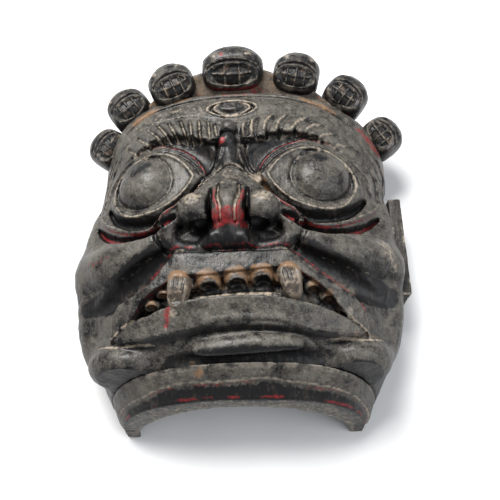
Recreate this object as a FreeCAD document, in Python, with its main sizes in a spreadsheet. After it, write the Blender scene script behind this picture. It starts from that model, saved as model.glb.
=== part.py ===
"""Carved wooden mask of a three-eyed protector with a crown of seven skulls. Millimetres.

Frame: +X to the viewer's right, +Y up the face towards the crown, +Z out of the face.
The mask lies on its open back, so the rim of the hollow is the plane Z = 0.
The origin is the middle of the rectangle that the mask covers.
"""
import FreeCAD, Part
import math
import os

from FreeCAD import Placement, Rotation, Vector

# Driving dimensions, one sheet row each: alias, value, meaning.
DIMENSIONS = (
    ("clearance", 0.15, "gap left at every seat between two pieces"),
    ("wall", 11, "thickness of the hollowed face"),
    ("axis_height", 20, "height of the centre of every elliptic section"),
    ("hollow_inset", 17, "hollow set in from the forehead's plan outline"),
    ("arch_radius", 280, "plan radius of the flat arch that ends the forehead"),
    ("arch_top", 101, "Y of the top of that arch"),
    ("temple_radius", 90, "plan radius of the temples"),
    ("temple_reach", 128, "half width of the plan block that the temples round off"),
    ("crown_inset", 7, "crown band let in behind the forehead's plan outline"),
    ("crown_radius", 127, "outer radius of the crown band, about the skulls' arc centre"),
    ("crown_height", 22, "thickness of the crown band across its tilted plane"),
    ("crown_tilt", 33, "degrees that the crown plane drops towards the temples"),
    ("crown_low_z", 45, "back face of the crown band at the top of the arch"),
    ("crown_end_y", 48, "lower ends of the crown band"),
    ("skull_arc_y", -7, "centre from which the skulls' places and the band's rim are measured"),
    ("skull_arc_z", 75, "height of the middle skull's centre"),
    ("skull_arc_drop", 80, "drop along that arc, times one minus the cosine of the angle"),
    ("skull_wide", 50, "width of the middle skull"),
    ("skull_long", 37, "chin to top of the middle skull"),
    ("skull_deep", 36, "face to back of the middle skull"),
    ("skull_round", 12, "rounding of the middle skull's edges"),
    ("skull_eye", 5, "radius of the middle skull's eye dimples"),
    ("peg_radius", 3, "wooden pegs"),
    ("peg_length", 20, "wooden pegs"),
    ("skull_peg_sunk", 7, "part of each skull's peg that is in the band"),
    ("skull_peg_drop", 12, "how far the peg is behind the middle of a skull"),
    ("crown_peg_length", 13, "pegs between band and face"),
    ("collar_tilt", 17, "degrees that the planes of the collar's ends lean"),
    ("collar_low_y", -154, "Y where the plane of the collar's lower end meets Z = 0"),
    ("collar_mouth", 76, "half width of the collar's opening at the table"),
    ("collar_length", 15.4, "distance between the collar's end planes"),
    ("plate_inner_x", 118, "inner face of the side plate"),
    ("plate_outer_x", 128, "outer face of the side plate"),
    ("plate_low_y", -61, "lower end of the side plate"),
    ("plate_high_y", 18, "upper end of the side plate"),
    ("plate_top_z", 40, "front edge of the side plate"),
    ("tie_hole_radius", 3, "tie holes at the two temples"),
    ("tie_hole_y", 9, "tie hole"),
    ("tie_hole_z", 27, "tie hole"),
    ("tie_hole_length", 40, "way of the tie through plate and face"),
    ("nail_radius", 2, "nail shank"),
    ("nail_length", 15, "nail shank below its head"),
    ("nail_head_radius", 4, "nail head"),
    ("nail_head_height", 1.8, "nail head"),
    ("nostril_radius", 7, "pierced nostrils"),
    ("nostril_length", 70, "pierced nostrils"),
    ("fang_length", 19, "gum to tip of each fang"),
    ("fang_root_radius", 6, "fang at the gum"),
    ("fang_tip_radius", 1.5, "fang at the tip"),
    ("middle_y", -5.5, "middle of the rectangle that the mask covers"),
)

# Elliptic sections of the face, chin to forehead: Y, half width, height at the middle.
FACE_SECTIONS = (
    (-160, 84, 40),
    (-134, 100, 59),
    (-118, 108, 73),
    (-100, 115, 84),
    (-72, 120, 90),
    (-40, 121.5, 92),
    (0, 120.5, 92),
    (40, 118.5, 91),
    (70, 118, 88),
    (90, 117, 80),
    (108, 116, 66),
)

# Elliptic sections of the collar, upper to lower end: Y, half width, height at the middle.
COLLAR_SECTIONS = (
    (-105, 106, 84),
    (-122, 100, 72),
    (-140, 94, 58),
    (-162, 87, 46),
)

# Carved forms: centre, half width, half length and half depth, turns about X, Y and Z.
SINGLE_FORMS = (
    ("nose_bridge", (-2, -10, 94), (17, 36, 18), (-27, 0, 0)),
    ("nose_tip", (-1, -27, 102), (21, 15, 16), (0, 0, 0)),
    ("third_eye", (-1, 82, 80), (17, 9, 10), (-15, 0, 0)),
    ("upper_knob", (-1, 56, 91), (6, 6, 7), (0, 0, 0)),
    ("lower_knob", (-2, 44, 92), (6, 6, 7), (0, 0, 0)),
    ("upper_lip", (0, -50, 56), (66, 8, 45), (0, 0, 0)),
    ("lower_lip", (0, -83, 54), (80, 10, 47), (0, 0, 0)),
    ("chin_roll", (7, -101, 80), (33, 10, 15), (15, 0, 0)),
    ("left_incisor", (-17, -60, 82), (9, 9, 9), (0, 0, 0)),
    ("middle_incisor", (1, -60, 83), (9, 9, 9), (0, 0, 0)),
    ("right_incisor", (18, -60, 82), (9, 9, 9), (0, 0, 0)),
)
PAIRED_FORMS = (
    ("nose_wing", (31, -31, 101), (13, 13, 15), (0, 0, 0)),
    ("eyeball", (65, 17, 80), (22, 22, 13), (0, 21, 0)),
    ("eyelids", (63, 17, 76), (36, 29, 11), (0, 21, 0)),
    ("brow", (54, 61, 80), (46, 11, 13), (-6, 20, -3)),
    ("cheek_roll", (74, -34, 68), (42, 18, 24), (0, 32, -8)),
    ("lip_corner", (72, -70, 64), (14, 26, 26), (0, 30, 8)),
    ("jowl", (80, -110, 42), (27, 20, 31), (0, 0, 0)),
)
HOLLOWED_FORMS = (
    ("mouth_gap", (0, -67, 98), (60, 7, 16), (0, 0, 0)),
    ("chin_undercut", (2, -115, 88), (60, 4, 14), (0, 0, 0)),
)

# Skulls from the middle one outwards: degrees round the face, distance from its centre, and
# width and other sizes against the middle one.
SKULLS = ((0, 130, 1, 1), (22, 132.5, 0.76, 0.97), (39, 140.5, 0.7, 0.92), (55, 140, 0.66, 0.88))
SKULL_LEAN = 0.05
SKULL_SPLAY = 0.5
SKULL_EYE = (9, 9, 18)
SKULL_MOUTH = (0, -7, 14)
SKULL_MOUTH_HALVES = (16, 9, 6)

# Points where the pegs cross a joint, on the viewer's right, and the way they run.
CROWN_PEGS = (
    ((12, 94.5, 50), (0, -1, 0)),
    ((57.7, 89, 44.5), (-0.6, -1, 0)),
)
COLLAR_PEGS = (
    ((28, -118, 66), (0.1, 1, 0.75)),
    ((89, -129, 30), (0.4, 1, 0.2)),
)

# Nails at the viewer's right: Y and Z on the side plate.
NAILS = ((-48, 14), (-16, 14))
NOSTRIL = (22, -42, 125)
NOSTRIL_WAY = (0, 0.3, -1)
FANG = (36, -53, 88)
FANG_WAY = (0.05, -1, 0.2)


def make_sheet(doc):
    """The sheet of driving dimensions: plain numbers, each with a word for its alias."""
    rows = list(DIMENSIONS)
    for name, _, halves, _ in SINGLE_FORMS + PAIRED_FORMS + HOLLOWED_FORMS:
        for word, value in zip(("wide", "long", "deep"), halves):
            rows.append((f"{name}_{word}", value, f"half size of the {name}"))
    sheet = doc.addObject("Spreadsheet::Sheet", "dims")
    for number, (alias, value, meaning) in enumerate(rows, start=1):
        sheet.set(f"A{number}", meaning)
        sheet.set(f"B{number}", str(value))
        sheet.setAlias(f"B{number}", alias)
    doc.recompute()
    return sheet


class Bench:
    """The document, with the few ways in which this mask's solids are made."""

    def __init__(self, doc):
        self.doc = doc
        self.sheet = make_sheet(doc)
        self.nodes = []

    def size(self, alias):
        return float(self.sheet.get(alias))

    def add(self, kind, name, **expressions):
        """One object whose properties follow expressions on the sheet."""
        item = self.doc.addObject(f"Part::{kind}", name)
        for word, expression in expressions.items():
            item.setExpression(word, expression)
        return item

    def boolean(self, kind, name):
        """A boolean that leaves split faces as they are: refining them fails on the lofts."""
        item = self.doc.addObject(f"Part::{kind}", name)
        item.Refine = False
        return item

    def join(self, name, pieces):
        item = self.boolean("MultiFuse", name)
        item.Shapes = pieces
        return item

    def common(self, name, pieces):
        item = self.boolean("MultiCommon", name)
        item.Shapes = pieces
        return item

    def chain(self, kind, name, base, tools):
        """Apply tools to a base one after another: Fuse, Cut or Common."""
        for number, tool in enumerate(tools):
            item = self.boolean(kind, f"{name}_{number}")
            item.Base = base
            item.Tool = tool
            base = item
        return base

    def cut(self, name, base, tool):
        return self.chain("Cut", name, base, [tool])

    def mirror(self, item):
        """The left-hand twin of a right-hand object."""
        twin = self.doc.addObject("Part::Mirroring", item.Name + "_twin")
        twin.Source = item
        twin.Normal = Vector(1, 0, 0)
        return twin

    def with_twins(self, items):
        return items + [self.mirror(item) for item in items]

    def keep(self, item, node):
        """Name the object that is a finished piece."""
        item.Label = node
        self.nodes.append(item)

    def keep_pair(self, item, word, number=""):
        """A finished right-hand piece and its left-hand twin."""
        ending = f"_{number}" if number else ""
        self.keep(item, f"{word}_right{ending}")
        self.keep(self.mirror(item), f"{word}_left{ending}")

    def block(self, name, low, high):
        """A box between two corners that are given as expressions."""
        box = self.doc.addObject("Part::Box", name)
        for side, start, end in zip(("Length", "Width", "Height"), low, high):
            box.setExpression(side, f"({end}) - ({start})")
        for axis, start in zip("xyz", low):
            box.setExpression(f"Placement.Base.{axis}", f"{start}")
        return box

    def rod(self, name, start, way, length, radius, grow="0"):
        """A round rod from a point, or its hole, which is longer and wider by grow."""
        rod = self.add("Cylinder", name)
        rod.setExpression("Radius", f"dims.{radius} + {grow}")
        rod.setExpression("Height", f"dims.{length} + 2 * {grow}")
        self.doc.recompute()
        way = Vector(*way).normalize()
        extra = (rod.Height.Value - self.size(length)) / 2
        turn = Rotation(Vector(0, 0, 1), way)
        rod.Placement = Placement(Vector(*start) - way * extra, turn)
        return rod

    def loft(self, name, sections, inset="0"):
        """A smooth solid through elliptic sections across Y, all set in by the same amount."""
        rings = []
        for number, (at_y, half_width, height) in enumerate(sections):
            ring = self.add("Ellipse", f"{name}_section_{number}")
            ring.setExpression("MajorRadius", f"{half_width} - {inset}")
            ring.setExpression("MinorRadius", f"{height} - dims.axis_height - {inset}")
            centre = Vector(0, at_y, self.size("axis_height"))
            ring.Placement = Placement(centre, Rotation(Vector(1, 0, 0), 90))
            rings.append(ring)
        loft = self.doc.addObject("Part::Loft", name)
        loft.Sections = rings
        loft.Solid = True
        return loft

    def form(self, name, centre, turns):
        """A carved ellipsoid whose half sizes are on the sheet."""
        item = self.add("Ellipsoid", name)
        item.setExpression("Radius1", f"dims.{name}_deep")
        item.setExpression("Radius2", f"dims.{name}_wide")
        item.setExpression("Radius3", f"dims.{name}_long")
        item.Placement = place(centre, turns)
        return item


def place(centre, turns):
    about_x, about_y, about_z = turns
    return Placement(Vector(*centre), Rotation(about_z, about_y, about_x))


def plan_block(bench, name, grow):
    """The face seen from the front: a flat arch with rounded temples, grown all round."""
    reach = f"dims.temple_reach + {grow}"
    box = bench.block(
        name + "_box", (f"-({reach})", "-200", "-10"), (reach, f"dims.arch_top + {grow}", "140")
    )
    bench.doc.recompute()
    radius = bench.size("temple_radius") + box.Length.Value / 2 - bench.size("temple_reach")
    rounded = bench.add("Fillet", name + "_temples")
    rounded.Base = box
    rounded.Edges = [(number, radius, radius) for number in upper_corner_edges(box.Shape)]
    arch = bench.add("Cylinder", name + "_arch", Height="160")
    arch.setExpression("Radius", f"dims.arch_radius + {grow}")
    arch.setExpression("Placement.Base.y", "dims.arch_top - dims.arch_radius")
    arch.setExpression("Placement.Base.z", "-15")
    return bench.common(name, [rounded, arch])


def upper_corner_edges(shape):
    """Numbers of a box's two edges along Z at its high Y side."""
    found = []
    for number, edge in enumerate(shape.Edges, start=1):
        box = edge.BoundBox
        if box.ZLength > 1 and box.YMin > shape.BoundBox.YMax - 1:
            found.append(number)
    return found


def make_skull(bench, node, wide, scale):
    """A rounded head with two eye dimples and a raised mouth, centred on its own origin."""
    skull = bench.doc.addObject("PartDesign::Body", node)
    head = skull.newObject("PartDesign::AdditiveBox", node + "_head")
    sizes = skull_sizes(wide, scale)
    for word, (size, factor), axis in zip(("Length", "Width", "Height"), sizes, "xyz"):
        head.setExpression(word, f"dims.{size} * {factor}")
        head.setExpression(f"Placement.Base.{axis}", f"-dims.{size} * {factor} / 2")
    bench.doc.recompute()
    rounding = skull.newObject("PartDesign::Fillet", node + "_rounding")
    rounding.Base = (head, [f"Edge{number}" for number in range(1, len(head.Shape.Edges) + 1)])
    rounding.setExpression("Radius", f"dims.skull_round * {scale}")
    bench.doc.recompute()
    for name, side in (("left", -1), ("right", 1)):
        eye = skull.newObject("PartDesign::SubtractiveSphere", f"{node}_{name}_eye")
        eye.setExpression("Radius", f"dims.skull_eye * {scale}")
        across, along, deep = SKULL_EYE
        eye.Placement.Base = Vector(side * across * wide, along * scale, deep * scale)
    mouth = skull.newObject("PartDesign::AdditiveEllipsoid", node + "_mouth")
    across, along, deep = SKULL_MOUTH_HALVES
    mouth.Radius2, mouth.Radius3, mouth.Radius1 = across * wide, along * scale, deep * scale
    mouth.Placement.Base = Vector(*SKULL_MOUTH) * scale
    return skull


def skull_sizes(wide, scale):
    """The three sizes of a skull, each with its factor."""
    return ("skull_wide", wide), ("skull_long", scale), ("skull_deep", scale)


def skull_place(bench, angle, reach):
    """Where a skull stands on its arc: local +Y is its top, local +Z its face."""
    turn = math.radians(angle)
    out = Vector(math.sin(turn), math.cos(turn), 0)
    centre = out * reach
    centre.y += bench.size("skull_arc_y")
    centre.z = bench.size("skull_arc_z") - bench.size("skull_arc_drop") * (1 - math.cos(turn))
    face = Vector(0, -SKULL_LEAN, 1) + out * (SKULL_SPLAY * math.sin(turn))
    face.normalize()
    top = out - face * out.dot(face)
    top.normalize()
    return Placement(centre, Rotation(top.cross(face), top, face, "ZYX"))


def make_skulls(bench):
    """The seven skulls with their pegs; returns their seats and peg holes for the band."""
    clear = "dims.clearance"
    rooms = []
    pegs = []
    for number, (angle, reach, wide, scale) in enumerate(SKULLS):
        name = f"skull_{number}"
        stand = skull_place(bench, angle, reach)
        skull = make_skull(bench, name, wide, scale)
        skull.Placement = stand
        seat = bench.add("Box", name + "_seat")
        for word, (size, factor) in zip(("Length", "Width", "Height"), skull_sizes(wide, scale)):
            seat.setExpression(word, f"dims.{size} * {factor} + 2 * {clear}")
        bench.doc.recompute()
        corner = Vector(seat.Length.Value, seat.Width.Value, seat.Height.Value) * -0.5
        seat.Placement = stand * Placement(corner, Rotation())
        foot = Vector(0, -bench.size("skull_long") / 2, -bench.size("skull_peg_drop"))
        back = stand.multVec(foot * scale)
        inward = stand.Rotation.multVec(Vector(0, -1, 0))
        start = back - inward * (bench.size("peg_length") - bench.size("skull_peg_sunk"))
        peg = bench.rod(name + "_peg", start, inward, "peg_length", "peg_radius")
        hole = bench.rod(name + "_hole", start, inward, "peg_length", "peg_radius", clear)
        bored = bench.cut(name + "_bored", skull, hole)
        if number == 0:
            bench.keep(bored, "skull_center")
            rooms += [seat, hole]
            pegs.append(peg)
        else:
            bench.keep_pair(bored, "skull", number)
            rooms += bench.with_twins([seat, hole])
            pegs += bench.with_twins([peg])
    bench.keep(bench.join("skull_peg_set", pegs), "skull_pegs")
    return rooms


def make_pegs(bench, name, crossings, length):
    """Pairs of pegs across a joint, centred where they cross it; returns their holes."""
    pegs = []
    holes = []
    for number, (point, way) in enumerate(crossings):
        direction = Vector(*way).normalize()
        start = Vector(*point) - direction * (bench.size(length) / 2)
        rod = (start, direction, length, "peg_radius")
        pegs.append(bench.rod(f"{name}_{number}", *rod))
        holes.append(bench.rod(f"{name}_{number}_hole", *rod, "dims.clearance"))
    bench.keep(bench.join(name + "_set", bench.with_twins(pegs)), name)
    return bench.join(name + "_holes", bench.with_twins(holes))


def crown_space(bench, name, clear):
    """A ring round the forehead's edge, cut to a plane that drops to the temples."""
    disc = bench.add("Cylinder", name + "_disc", Radius=f"dims.crown_radius + {clear}", Height="160")
    disc.setExpression("Placement.Base.y", "dims.skull_arc_y")
    disc.setExpression("Placement.Base.z", "-15")
    inner = plan_block(bench, name + "_inner", f"-dims.crown_inset - {clear}")
    ring = bench.cut(name + "_ring", disc, inner)
    slab = bench.add("Box", name + "_slab", Height=f"dims.crown_height + 2 * {clear}")
    slab.Length = 400
    slab.Width = 300
    bench.doc.recompute()
    tilt = Rotation(Vector(1, 0, 0), bench.size("crown_tilt"))
    drop = (slab.Height.Value - bench.size("crown_height")) / 2
    top = Vector(0, bench.size("arch_top"), bench.size("crown_low_z"))
    slab.Placement = Placement(top + tilt.multVec(Vector(-200, -260, -drop)), tilt)
    end = f"dims.crown_end_y - {clear}"
    ends = bench.block(name + "_ends", ("-200", end, "0"), ("200", "200", "140"))
    return bench.common(name, [ring, slab, ends])


def collar_space(bench, name, length, skip="0"):
    """The space between two leaning planes, from skip below the collar's lower end."""
    lean = Rotation(Vector(1, 0, 0), -bench.size("collar_tilt"))
    slab = bench.add("Box", name, Width=f"{length} + {skip}")
    slab.Length = 400
    slab.Height = 400
    corner = lean.multVec(Vector(-200, -float(skip), -200))
    slab.Placement = Placement(Vector(0, bench.size("collar_low_y"), 0) + corner, lean)
    return slab


def make_collar(bench, holes):
    """The arched band under the chin, hollowed like the face."""
    outer = bench.loft("collar_outer", COLLAR_SECTIONS)
    inner = bench.loft("collar_inner", COLLAR_SECTIONS, "dims.wall")
    mouth = bench.block(
        "collar_mouth",
        ("-dims.collar_mouth", "-200", "-50"),
        ("dims.collar_mouth", "-90", "dims.axis_height"),
    )
    arch = bench.chain("Cut", "collar_arch", outer, [inner, mouth])
    above = bench.block("collar_above", ("-200", "-200", "0"), ("200", "0", "150"))
    slab = collar_space(bench, "collar_slab", "dims.collar_length")
    blank = bench.common("collar_blank", [arch, above, slab])
    bench.keep(bench.cut("collar_bored", blank, holes), "chin_collar")


def make_plate(bench):
    """The square-ended board nailed on at the right temple; returns the room that it needs."""
    clear = "dims.clearance"
    board = bench.block(
        "board",
        ("dims.plate_inner_x", "dims.plate_low_y", "0"),
        ("dims.plate_outer_x", "dims.plate_high_y", "dims.plate_top_z"),
    )
    room = bench.block(
        "board_room",
        (f"dims.plate_inner_x - {clear}", f"dims.plate_low_y - {clear}", "-1"),
        ("150", f"dims.plate_high_y + {clear}", f"dims.plate_top_z + {clear}"),
    )
    tie_start = (bench.size("plate_outer_x") + 1, bench.size("tie_hole_y"), bench.size("tie_hole_z"))
    tie = (tie_start, (-1, 0, 0), "tie_hole_length")
    tie_hole = bench.rod("tie_hole", *tie, "tie_hole_radius")
    holes = [tie_hole]
    left_tie = bench.mirror(bench.rod("left_tie", *tie, "tie_hole_radius"))
    rooms = [room, bench.rod("tie_way", *tie, "tie_hole_radius", "2"), left_tie]
    nails = []
    for number, (at_y, at_z) in enumerate(NAILS):
        face = (bench.size("plate_outer_x"), at_y, at_z)
        name = f"nail_{number}"
        shank = bench.rod(name + "_shank", face, (-1, 0, 0), "nail_length", "nail_radius")
        head = bench.rod(name + "_head", face, (1, 0, 0), "nail_head_height", "nail_head_radius")
        hole = bench.rod(name + "_hole", face, (-1, 0, 0), "nail_length", "nail_radius", "0.05")
        nails.append(bench.join(name, [shank, head]))
        holes.append(hole)
        rooms.append(hole)
    bench.keep(bench.cut("board_bored", board, bench.join("board_holes", holes)), "side_plate")
    bench.keep(bench.join("nail_set", nails), "plate_nails")
    return bench.join("plate_room", rooms)


def make_fangs(bench):
    """Two tapered fangs in sockets of the upper gum; returns the sockets."""
    way = Vector(*FANG_WAY).normalize()
    fang = bench.doc.addObject("Part::Cone", "fang")
    fang.setExpression("Radius1", "dims.fang_root_radius")
    fang.setExpression("Radius2", "dims.fang_tip_radius")
    fang.setExpression("Height", "dims.fang_length")
    turn = Rotation(Vector(0, 0, 1), way)
    fang.Placement = Placement(Vector(*FANG), turn)
    bench.keep_pair(fang, "fang")
    socket = bench.doc.addObject("Part::Cone", "fang_socket")
    socket.setExpression("Radius1", "dims.fang_root_radius + dims.clearance")
    socket.setExpression("Radius2", "dims.fang_tip_radius + dims.clearance")
    socket.setExpression("Height", "dims.fang_length + 2 * dims.clearance")
    socket.Placement = Placement(Vector(*FANG) - way * bench.size("clearance"), turn)
    return bench.with_twins([socket])


def face_forms(bench):
    """Every carved form that stands out of the face."""
    forms = [bench.form(name, centre, turns) for name, centre, _, turns in SINGLE_FORMS]
    pairs = [bench.form(name, centre, turns) for name, centre, _, turns in PAIRED_FORMS]
    return forms + bench.with_twins(pairs)


def make_face(bench, rooms):
    """The hollow face, carved in front, with seats for everything that it carries."""
    front = bench.block("face_front", ("-200", "-200", "0"), ("200", "200", "150"))
    trims = [front, plan_block(bench, "face_plan", "0")]
    dome = bench.chain("Common", "dome_trimmed", bench.loft("dome", FACE_SECTIONS), trims)
    solid = bench.chain("Fuse", "face_solid", dome, face_forms(bench))
    inside = bench.loft("inside", FACE_SECTIONS, "dims.wall")
    hollow = bench.common("hollow", [inside, plan_block(bench, "hollow_plan", "-dims.hollow_inset")])
    shell = bench.cut("face_hollowed", solid, hollow)
    hollows = [bench.form(name, centre, turns) for name, centre, _, turns in HOLLOWED_FORMS]
    nostril = bench.rod("nostril", NOSTRIL, NOSTRIL_WAY, "nostril_length", "nostril_radius")
    hollows += bench.with_twins([nostril])
    carved = bench.chain("Cut", "face_carved", shell, hollows)
    below = collar_space(bench, "collar_room", "dims.collar_length + dims.clearance", "90")
    rooms += [crown_space(bench, "crown_room", "dims.clearance"), below]
    bench.keep(bench.chain("Cut", "face_seated", carved, rooms), "face_shell")


def main():
    doc = FreeCAD.newDocument("mask")
    bench = Bench(doc)
    skull_rooms = make_skulls(bench)
    crown_holes = make_pegs(bench, "crown_pegs", CROWN_PEGS, "crown_peg_length")
    collar_holes = make_pegs(bench, "collar_pegs", COLLAR_PEGS, "peg_length")
    seats = bench.join("band_rooms", skull_rooms + [crown_holes])
    bench.keep(bench.cut("crown_seated", crown_space(bench, "crown_blank", "0"), seats), "crown_band")
    make_collar(bench, collar_holes)
    rooms = skull_rooms + [crown_holes, collar_holes, make_plate(bench)] + make_fangs(bench)
    make_face(bench, rooms)
    doc.recompute()
    check(doc, bench.nodes)
    write(bench)


def check(doc, nodes):
    """Stop before anything is written if any object failed."""
    for item in doc.Objects:
        if "Invalid" in item.State or "Error" in item.State:
            raise RuntimeError(f"{item.Label} failed: {item.State}")
    for item in nodes:
        shape = item.Shape
        if shape.isNull() or not shape.isValid() or not shape.Solids:
            raise RuntimeError(f"{item.Label} has no valid shape")
        print(item.Label, len(shape.Solids), "solids", round(shape.Volume), shape.BoundBox)


def write(bench):
    """Export the pieces, with the origin in the middle of the rectangle that the mask covers."""
    os.makedirs("parts", exist_ok=True)
    shift = Vector(0, -bench.size("middle_y"), 0)
    for item in bench.nodes:
        item.Shape.translated(shift).exportStep(f"parts/{item.Label}.step")


main()
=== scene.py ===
"""The looks of the carved wooden mask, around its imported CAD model.

The face is sculpted as a field of distances in millimetres, in the CAD's own frame, and every
carved piece replaces the CAD node that it stands for. Sizes below are millimetres on the mask.
"""
import math

import bpy
import numpy as np
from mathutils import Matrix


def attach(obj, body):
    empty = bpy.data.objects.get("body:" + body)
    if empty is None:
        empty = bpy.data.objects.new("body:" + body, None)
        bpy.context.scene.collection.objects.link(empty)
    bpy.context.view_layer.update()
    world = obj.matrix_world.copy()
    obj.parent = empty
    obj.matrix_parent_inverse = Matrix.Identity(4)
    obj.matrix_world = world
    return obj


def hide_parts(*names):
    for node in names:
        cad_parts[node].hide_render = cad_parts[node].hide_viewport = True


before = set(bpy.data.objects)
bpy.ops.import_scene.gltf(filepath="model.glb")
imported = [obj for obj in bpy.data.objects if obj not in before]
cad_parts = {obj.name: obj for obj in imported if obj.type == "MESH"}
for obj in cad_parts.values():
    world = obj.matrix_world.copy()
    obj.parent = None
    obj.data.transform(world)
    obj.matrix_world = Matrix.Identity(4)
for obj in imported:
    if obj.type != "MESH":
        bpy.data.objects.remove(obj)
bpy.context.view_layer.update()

import openvdb
from mathutils import Matrix, Vector

MM = 0.001
STEP = 0.9
FINE_STEP = 0.5
FAR = 60.0

# The bare dome of the face: along Y, its half width and the height of its middle.
DOME_Y = (-165, -148, -131, -116, -96, -66, -36, -6, 14, 34, 60, 80, 101, 120)
DOME_WIDTH = (82, 90, 99, 107, 114, 119, 120.5, 119, 117.5, 116.5, 116.5, 117, 117.5, 117)
DOME_HEIGHT = (40, 50, 62, 74, 86, 91, 92, 92, 92, 92, 90, 85, 73.5, 58)
COLLAR_Y = (-165, -154, -140, -122, -105)
COLLAR_WIDTH = (85, 89, 94, 100, 106)
COLLAR_HEIGHT = (43, 50, 60, 73, 85)
DOME = (DOME_Y, DOME_WIDTH, DOME_HEIGHT)
COLLAR = (COLLAR_Y, COLLAR_WIDTH, COLLAR_HEIGHT)
BOXINESS = 2.6
PLAN_WIDTH, PLAN_LENGTH, PLAN_CENTRE_Y = 128, 108, -7
WALL = 11
HOLLOW_INSET = 17

# The leaning plane between face and collar, and the collar's lower end.
COLLAR_TILT = math.radians(17)
COLLAR_LOW_Y = -154
COLLAR_LENGTH = 15.4

# The band behind the forehead, and the hole for the tie: its Y, Z and radius.
CROWN_RADIUS = 126.2
CROWN_LEAN = math.radians(33)
CROWN_FOOT_Y, CROWN_FOOT_Z = 101, 45
CROWN_LOW, CROWN_HIGH, CROWN_ENDS_Y = 0.6, 21.4, 48.6
TIE_HOLE = (9, 27, 3.0)

# The sculpting's own zero is this far below the origin of the CAD, and the pieces end this far
# above the table.
RAISE = 5.5
BACK_Z = 0.4


# ---- fields of distance

def unit(value):
    """Keep a share between none and all."""
    return np.clip(value, 0, 1)


def bell(offset, width):
    """A smooth bump round the places where the offset is nothing."""
    return np.exp(-(offset / width) ** 2)


def blend_corners(cell, part, value):
    """Straight interpolation of value(*corner) inside the cells of a plan or a block."""
    total, sides = 0, cell.shape[1]
    for corner in range(2**sides):
        bits = np.array([corner >> bit & 1 for bit in reversed(range(sides))])
        weight = np.prod(np.where(bits, part, 1 - part), axis=1)
        total = total + weight * value(*(cell + bits).T)
    return total


def sampled(grid, low, step, points):
    """The values of a plan or a block at free points."""
    spot = np.clip((points - low) / step, 0, np.array(grid.shape) - 1.001)
    cell = spot.astype(int)
    return blend_corners(cell, spot - cell, lambda *at: grid[at])


def cells_between(low, high, zero, step):
    """Slices of the cells of a plan or a block that lie between two corners."""
    start = np.clip(((np.array(low) - zero) / step).astype(int), 0, None)
    stop = np.clip(((np.array(high) - zero) / step).astype(int) + 2, 0, None)
    return [slice(a, b) for a, b in zip(start, stop)]


def soft_min(a, b, blend):
    """The union of two fields, with a fillet of about the blend's size."""
    if blend <= 0:
        return np.minimum(a, b)
    overlap = np.maximum(blend - np.abs(a - b), 0) / blend
    return np.minimum(a, b) - overlap * overlap * blend / 4


def soft_max(a, b, blend):
    return -soft_min(-a, -b, blend)


def smooth_curve(points, steps=5):
    """A Catmull-Rom curve through points of any width, such as x, y, z and radius."""
    points = np.array(points, float)
    if len(points) < 3:
        return points
    ends = np.vstack([2 * points[0] - points[1], points, 2 * points[-1] - points[-2]])
    t = np.linspace(0, 1, steps, endpoint=False)[:, None]
    spans = []
    for a, b, c, d in zip(ends, ends[1:], ends[2:], ends[3:]):
        spans.append(0.5 * (2 * b + (c - a) * t + (2 * a - 5 * b + 4 * c - d) * t**2
                            + (3 * b - a - 3 * c + d) * t**3))
    return np.vstack(spans + [points[-1:]])


def line_distance(x, y, points):
    """Distance in the plan from each place to an open run of points, and how far along it is."""
    best = np.full(np.broadcast(x, y).shape, 1e6)
    along = np.zeros_like(best)
    count = len(points) - 1
    for number, (a, b) in enumerate(zip(points, points[1:])):
        dx, dy = b[0] - a[0], b[1] - a[1]
        part = unit(((x - a[0]) * dx + (y - a[1]) * dy) / (dx * dx + dy * dy + 1e-9))
        gap = np.hypot(x - a[0] - part * dx, y - a[1] - part * dy)
        nearer = gap < best
        best = np.where(nearer, gap, best)
        along = np.where(nearer, (number + part) / count, along)
    return best, along


def region_distance(x, y, points):
    """Signed distance in the plan to a closed outline, negative inside."""
    ring = list(points) + [points[0]]
    gap, _ = line_distance(x, y, ring)
    inside = np.zeros(gap.shape, bool)
    for a, b in zip(ring, ring[1:]):
        crosses = (a[1] > y) != (b[1] > y)
        at_x = (b[0] - a[0]) * (y - a[1]) / (b[1] - a[1] + 1e-9) + a[0]
        inside ^= crosses & (x < at_x)
    return np.where(inside, -gap, gap)


def tube_field(x, y, z, points):
    """A limb through points (x, y, z, radius)."""
    field = None
    for a, b in zip(points, points[1:]):
        way = np.array(b[:3]) - np.array(a[:3])
        size = float(way @ way) + 1e-9
        part = unit(((x - a[0]) * way[0] + (y - a[1]) * way[1] + (z - a[2]) * way[2]) / size)
        gap = np.sqrt((x - a[0] - part * way[0]) ** 2 + (y - a[1] - part * way[1]) ** 2
                      + (z - a[2] - part * way[2]) ** 2)
        limb = gap - (a[3] + part * (b[3] - a[3]))
        field = limb if field is None else soft_min(field, limb, 2.0)
    return field


def ball_field(x, y, z, centre, radii, axes):
    """An ellipsoid with its three radii along three axes."""
    x, y, z = x - centre[0], y - centre[1], z - centre[2]
    u, v, w = (x * way[0] + y * way[1] + z * way[2] for way in axes)
    a, b, c = radii
    near = np.sqrt((u / a) ** 2 + (v / b) ** 2 + (w / c) ** 2) + 1e-6
    slope = np.sqrt((u / a**2) ** 2 + (v / b**2) ** 2 + (w / c**2) ** 2) + 1e-6
    return near * (near - 1) / slope


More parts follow.
